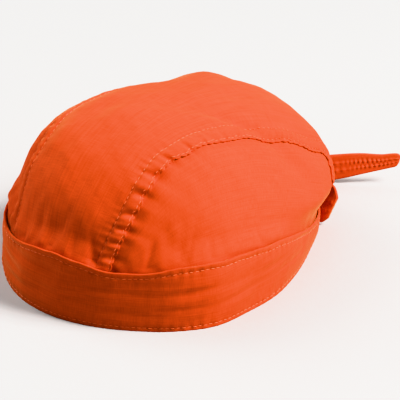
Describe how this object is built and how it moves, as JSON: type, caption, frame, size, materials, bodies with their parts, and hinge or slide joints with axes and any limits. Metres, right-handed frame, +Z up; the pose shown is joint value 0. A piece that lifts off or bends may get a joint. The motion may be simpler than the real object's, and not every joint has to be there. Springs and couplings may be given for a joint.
{
  "type": "headscarf",
  "caption": "Cloth headscarf sewn as a close cap, with a centre panel lapped over side panels, a deep brow band, and back ties knotted with their ends hanging free.",
  "frame": {"origin": "middle of the underside of the box round the whole headscarf, on the plane that its rim rests on", "axes": "+Z up through the crown, the brow at the front faces -Y, the knot is towards +Y, and the wearer's left is +X"},
  "size_m": [0.1716, 0.2564, 0.0991],
  "materials": {
    "cotton": "matt plain-weave cotton in orange, lightly creased, with a soft sheen at grazing angles",
    "tie_cotton": "the same cotton folded into flat straps, with stitching along them"
  },
  "bodies": {
    "root": {"centre_panel": "cotton", "side_panel_left": "cotton", "side_panel_right": "cotton", "brow_band": "cotton", "tie_left": "tie_cotton", "tie_right": "tie_cotton", "tie_knot": "tie_cotton", "tie_end_upper": "tie_cotton", "tie_end_lower": "tie_cotton"}
  },
  "joints": []
}
